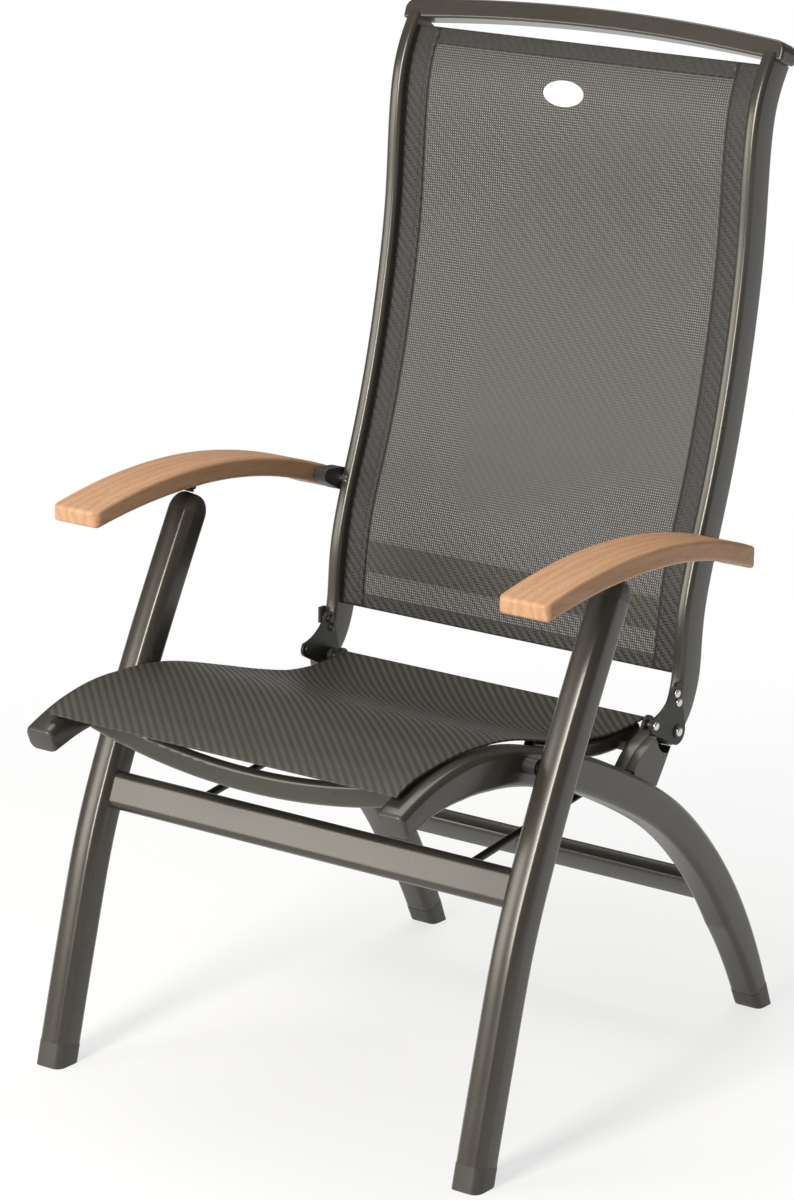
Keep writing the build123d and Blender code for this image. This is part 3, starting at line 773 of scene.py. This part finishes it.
def make_mottle():
    """Slow and fine noise: a cloudy tone, a fine height like sprayed paint, and rare pale scuffs."""
    wants = [("Vector", VECTOR, None), ("Cloud size", FLOAT, 12.0), ("Fine size", FLOAT, 900.0),
             ("Scuffs", FLOAT, 0.5)]
    tree, given, out = group("mottle", wants, [("Tone", FLOAT), ("Height", FLOAT), ("Scuff", FLOAT)])
    slow = add(tree, "ShaderNodeTexNoise", in_3=4.0)
    fine = add(tree, "ShaderNodeTexNoise", in_3=2.0)
    marks = add(tree, "ShaderNodeTexNoise", in_2=70.0, in_3=6.0)
    for n in (slow, fine, marks):
        join(tree, given.outputs["Vector"], n.inputs["Vector"])
    join(tree, given.outputs["Cloud size"], slow.inputs["Scale"])
    join(tree, given.outputs["Fine size"], fine.inputs["Scale"])
    high = sum_of(tree, "SUBTRACT", marks.outputs[0], 0.66)
    edged = sum_of(tree, "MULTIPLY", high, 12.0, clamp=True)
    scuff = sum_of(tree, "MULTIPLY", edged, given.outputs["Scuffs"])
    join(tree, slow.outputs[0], out.inputs["Tone"])
    join(tree, fine.outputs[0], out.inputs["Height"])
    join(tree, scuff, out.inputs["Scuff"])
    return tree


def make_grain():
    """Wood cut along the tree: bands that are long along the board and bent by noise, fine dark pores that
    are longer still, and a slow cloudy tone."""
    wants = [("Vector", VECTOR, None), ("Bands", FLOAT, 9.0)]
    tree, given, out = group("timber_grain", wants, [("Band", FLOAT), ("Pore", FLOAT), ("Cloud", FLOAT)])
    stretch = add(tree, "ShaderNodeMapping", in_3=(1.0, 0.10, 1.0))
    join(tree, given.outputs["Vector"], stretch.inputs["Vector"])
    cloud = add(tree, "ShaderNodeTexNoise", in_2=22.0, in_3=3.0)
    join(tree, stretch.outputs[0], cloud.inputs["Vector"])
    wave = add(tree, "ShaderNodeTexWave", wave_type="BANDS", bands_direction="X", in_2=5.0, in_3=4.5,
               in_4=3.0)
    join(tree, stretch.outputs[0], wave.inputs["Vector"])
    join(tree, given.outputs["Bands"], wave.inputs["Scale"])
    pore_stretch = add(tree, "ShaderNodeMapping", in_3=(1.0, 0.035, 1.0))
    join(tree, given.outputs["Vector"], pore_stretch.inputs["Vector"])
    pores = add(tree, "ShaderNodeTexNoise", in_2=900.0, in_3=3.0)
    join(tree, pore_stretch.outputs[0], pores.inputs["Vector"])
    dark = sum_of(tree, "MULTIPLY", sum_of(tree, "SUBTRACT", pores.outputs[0], 0.56), 9.0, clamp=True)
    join(tree, wave.outputs[1], out.inputs["Band"])
    join(tree, dark, out.inputs["Pore"])
    join(tree, cloud.outputs[0], out.inputs["Cloud"])
    return tree


weave = make_weave()
mottle = make_mottle()
grain = make_grain()


def start_material(name):
    made = bpy.data.materials.new(name)
    made.use_nodes = True
    tree = made.node_tree
    tree.nodes.clear()
    shader = add(tree, "ShaderNodeBsdfPrincipled")
    out = add(tree, "ShaderNodeOutputMaterial")
    join(tree, shader.outputs[0], out.inputs[0])
    where = add(tree, "ShaderNodeTexCoord")
    return made, tree, shader, where


def bump(tree, shader, height, strength, distance):
    n = add(tree, "ShaderNodeBump")
    n.inputs["Strength"].default_value = strength
    n.inputs["Distance"].default_value = distance
    join(tree, height, n.inputs["Height"])
    join(tree, n.outputs[0], shader.inputs["Normal"])


def coated(name, dark, light, rough, metallic, scuff_colour, scuffs=0.3, coat=0.0, fine=900.0,
           relief=0.00006):
    """A sprayed or moulded finish: two close tones, a fine pebbled height and pale scuffs."""
    made, tree, shader, where = start_material(name)
    spots = place(tree, mottle, Cloud_size=9.0, Fine_size=fine, Scuffs=scuffs)
    join(tree, where.outputs["Object"], spots.inputs["Vector"])
    tone = blend_of(tree, spots.outputs["Tone"], dark, light)
    worn = blend_of(tree, spots.outputs["Scuff"], tone, scuff_colour)
    join(tree, worn, shader.inputs["Base Color"])
    gloss = sum_of(tree, "MULTIPLY_ADD", spots.outputs["Tone"], 0.10, rough - 0.05)
    join(tree, gloss, shader.inputs["Roughness"])
    shader.inputs["Metallic"].default_value = metallic
    shader.inputs["Coat Weight"].default_value = coat
    shader.inputs["Coat Roughness"].default_value = 0.25
    bump(tree, shader, spots.outputs["Height"], 0.35, relief)
    return made


def teak():
    """Oiled boards: two tones in bands, a redder cloudy tone over them, and dark pores."""
    made, tree, shader, where = start_material("oiled_timber")
    rings = place(tree, grain, Bands=26.0)
    join(tree, where.outputs["Object"], rings.inputs["Vector"])
    base = blend_of(tree, rings.outputs["Band"], timber_dark, timber_light)
    cloudy = sum_of(tree, "MULTIPLY", rings.outputs["Cloud"], 0.5)
    clouded = blend_of(tree, cloudy, base, timber_cloud)
    porous = sum_of(tree, "MULTIPLY", rings.outputs["Pore"], 0.35)
    pored = blend_of(tree, porous, clouded, timber_pore)
    join(tree, pored, shader.inputs["Base Color"])
    rough = sum_of(tree, "MULTIPLY_ADD", rings.outputs["Pore"], 0.20, 0.48)
    join(tree, rough, shader.inputs["Roughness"])
    height = sum_of(tree, "MULTIPLY_ADD", rings.outputs["Pore"], -1.0, rings.outputs["Band"])
    bump(tree, shader, height, 0.3, 0.00012)
    return made


def fabric(name, opening, thread_shaded_tone, thread_lit_tone, rib_share):
    """The stretched mesh: coated threads woven two over, two under, with light through the holes. Its colour
    runs from the shaded tone to the lit tone with the threads' crowns and the diagonal ribs: painted shade
    down the threads' sides and in the troughs, painted highlight on the crowns and rib crests.
    """
    made, tree, shader, where = start_material(name)
    cloth = place(tree, weave, Pitch=thread_pitch, Open=opening)
    join(tree, where.outputs["UV"], cloth.inputs["Vector"])
    # Painted shade and highlight on the weave's relief: crowns and rib crests lighter, sides and troughs
    # darker.
    shade = sum_of(tree, "MULTIPLY_ADD", cloth.outputs["Rib"], rib_share, sum_of(
        tree, "MULTIPLY", cloth.outputs["Height"], 1 - rib_share))
    colour = blend_of(tree, shade, thread_shaded_tone, thread_lit_tone)
    join(tree, colour, shader.inputs["Base Color"])
    rough = sum_of(tree, "MULTIPLY_ADD", cloth.outputs["Thread"], 0.10, 0.42)
    join(tree, rough, shader.inputs["Roughness"])
    shader.inputs["Specular IOR Level"].default_value = 0.45
    join(tree, sum_of(tree, "SUBTRACT", 1.0, cloth.outputs["Hole"]), shader.inputs["Alpha"])
    height = sum_of(tree, "ADD", cloth.outputs["Height"], cloth.outputs["Rib"])
    bump(tree, shader, height, 0.8, 0.0005)
    return made


frame_paint = coated("bronze_grey_paint", (0.044, 0.040, 0.032, 1), (0.060, 0.054, 0.044, 1), 0.27, 0.45,
                     (0.16, 0.15, 0.135, 1), scuffs=0.12, coat=0.25)
dark_plastic = coated("moulded_black", (0.012, 0.012, 0.011, 1), (0.022, 0.021, 0.020, 1), 0.50, 0.0,
                      (0.06, 0.06, 0.058, 1), scuffs=0.35, fine=1500.0, relief=0.0001)
dark_steel = coated("blackened_steel", (0.020, 0.019, 0.018, 1), (0.034, 0.032, 0.029, 1), 0.40, 0.55,
                    (0.16, 0.15, 0.14, 1), scuffs=0.5)
bright_steel = coated("bright_steel", (0.55, 0.55, 0.53, 1), (0.70, 0.69, 0.67, 1), 0.24, 1.0,
                      (0.85, 0.85, 0.83, 1), scuffs=0.4)
badge_white = coated("white_enamel", (0.76, 0.755, 0.74, 1), (0.80, 0.795, 0.78, 1), 0.25, 0.0,
                     (0.70, 0.69, 0.67, 1), scuffs=0.2, coat=0.5)
dark_cap = coated("moulded_grey_cap", (0.034, 0.031, 0.026, 1), (0.044, 0.040, 0.034, 1), 0.42, 0.0,
                  (0.07, 0.067, 0.06, 1), scuffs=0.3, fine=1500.0, relief=0.0001)
timber = teak()
# In each fabric the first colour is painted shade in the weave's troughs and the second a painted highlight
# on its crowns and ribs.
open_mesh = fabric("woven_mesh_back", 0.17, (0.016, 0.0145, 0.011, 1), (0.052, 0.047, 0.037, 1), 0.40)
hem_weave = fabric("woven_mesh_hem", 0.0, (0.006, 0.0055, 0.0045, 1), (0.026, 0.024, 0.020, 1), 0.20)
seat_weave = fabric("woven_mesh_seat", 0.06, (0.006, 0.0055, 0.0042, 1), (0.064, 0.058, 0.046, 1), 0.75)
thread = coated("sewing_thread", (0.020, 0.019, 0.017, 1), (0.040, 0.037, 0.033, 1), 0.6, 0.0,
                (0.06, 0.055, 0.05, 1))

# Every carried-over CAD node gets the finish of its slot.
finishes = {"frame_aluminium": frame_paint, "black_plastic": dark_plastic, "teak": timber,
            "bolt_steel": bright_steel, "black_steel": dark_steel, "badge_white": badge_white,
            "sling_fabric": open_mesh}
for part in frame["record"]["subparts"]:
    slots = nodes[part["node"]].data.materials
    if not len(slots):
        slots.append(None)
    for k in range(len(slots)):
        slots[k] = finishes[part["material_slot"]]
right_nut, left_nut = nuts
for finish, pieces in ((open_mesh, [back_mesh]), (seat_weave, [seat_mesh, seat_hems]),
                       (hem_weave, [back_hems]), (thread, [back_seams, seat_seams]),
                       (frame_paint, back_tubes + front_legs + arches + posts + [crossbar]),
                       (dark_cap, leg_caps + front_caps + arch_plugs + rear_caps),
                       (dark_plastic, buffers + washers),
                       (dark_steel, pins + [left_plate, left_heads, left_nut]),
                       (bright_steel, [right_heads, right_nut]), (badge_white, [badge])):
    for piece in pieces:
        piece.data.materials.append(finish)


# Floor and light
def make_floor():
    """One pale sheet, drawn nearly white to the camera and still darkened by the chair's own shadow."""
    reach = np.linspace(-floor_reach, floor_reach, 5)
    x, y = np.meshgrid(reach, reach, indexing="ij")
    floor = grid_mesh("floor", [np.stack([x, y, np.full_like(x, -floor_drop)], axis=-1)], smooth=False)
    made = bpy.data.materials.new("pale_floor")
    made.use_nodes = True
    tree = made.node_tree
    tree.nodes.clear()
    plain = add(tree, "ShaderNodeBsdfDiffuse", in_0=(0.86, 0.86, 0.85, 1))
    glow = add(tree, "ShaderNodeEmission", in_0=(1, 1, 1, 1), in_1=1.0)
    rays = add(tree, "ShaderNodeLightPath")
    seen = sum_of(tree, "MAXIMUM", rays.outputs["Is Camera Ray"], sum_of(
        tree, "MAXIMUM", rays.outputs["Is Glossy Ray"], rays.outputs["Is Transmission Ray"]))
    where = add(tree, "ShaderNodeTexCoord")
    far = add(tree, "ShaderNodeVectorMath", operation="LENGTH")
    join(tree, where.outputs["Object"], far.inputs[0])
    past = sum_of(tree, "SUBTRACT", far.outputs["Value"], floor_near)
    share = sum_of(tree, "MULTIPLY_ADD", past, floor_whitens, floor_white)
    share = sum_of(tree, "MINIMUM", share, 1.0)
    mix = add(tree, "ShaderNodeMixShader")
    join(tree, sum_of(tree, "MULTIPLY", seen, share), mix.inputs[0])
    join(tree, plain.outputs[0], mix.inputs[1])
    join(tree, glow.outputs[0], mix.inputs[2])
    out = add(tree, "ShaderNodeOutputMaterial")
    join(tree, mix.outputs[0], out.inputs[0])
    floor.data.materials.append(made)


def make_world():
    """Soft warm light from all round, drawn white to the camera."""
    world = bpy.data.worlds.new("studio")
    world.use_nodes = True
    tree = world.node_tree
    tree.nodes.clear()
    soft = add(tree, "ShaderNodeBackground", in_0=(1, 0.985, 0.95, 1), in_1=world_strength)
    white = add(tree, "ShaderNodeBackground", in_0=(1, 1, 1, 1), in_1=1.0)
    rays = add(tree, "ShaderNodeLightPath")
    mix = add(tree, "ShaderNodeMixShader")
    join(tree, rays.outputs["Is Camera Ray"], mix.inputs[0])
    join(tree, soft.outputs[0], mix.inputs[1])
    join(tree, white.outputs[0], mix.inputs[2])
    out = add(tree, "ShaderNodeOutputWorld")
    join(tree, mix.outputs[0], out.inputs[0])
    bpy.context.scene.world = world


def make_lamp(name, at, aim, size, power, colour):
    """A rectangular soft light at a place, turned to its aim."""
    data = bpy.data.lights.new(name, "AREA")
    data.shape = "RECTANGLE"
    data.size, data.size_y = size
    data.energy = power
    data.color = colour
    made = bpy.data.objects.new(name, data)
    made.location = at
    made.rotation_mode = "QUATERNION"
    made.rotation_quaternion = (Vector(aim) - Vector(at)).to_track_quat("-Z", "Y")
    bpy.context.scene.collection.objects.link(made)


make_floor()
make_world()
for lamp, values in lamps.items():
    make_lamp(lamp, *values)

bpy.context.scene.view_settings.view_transform = "Standard"
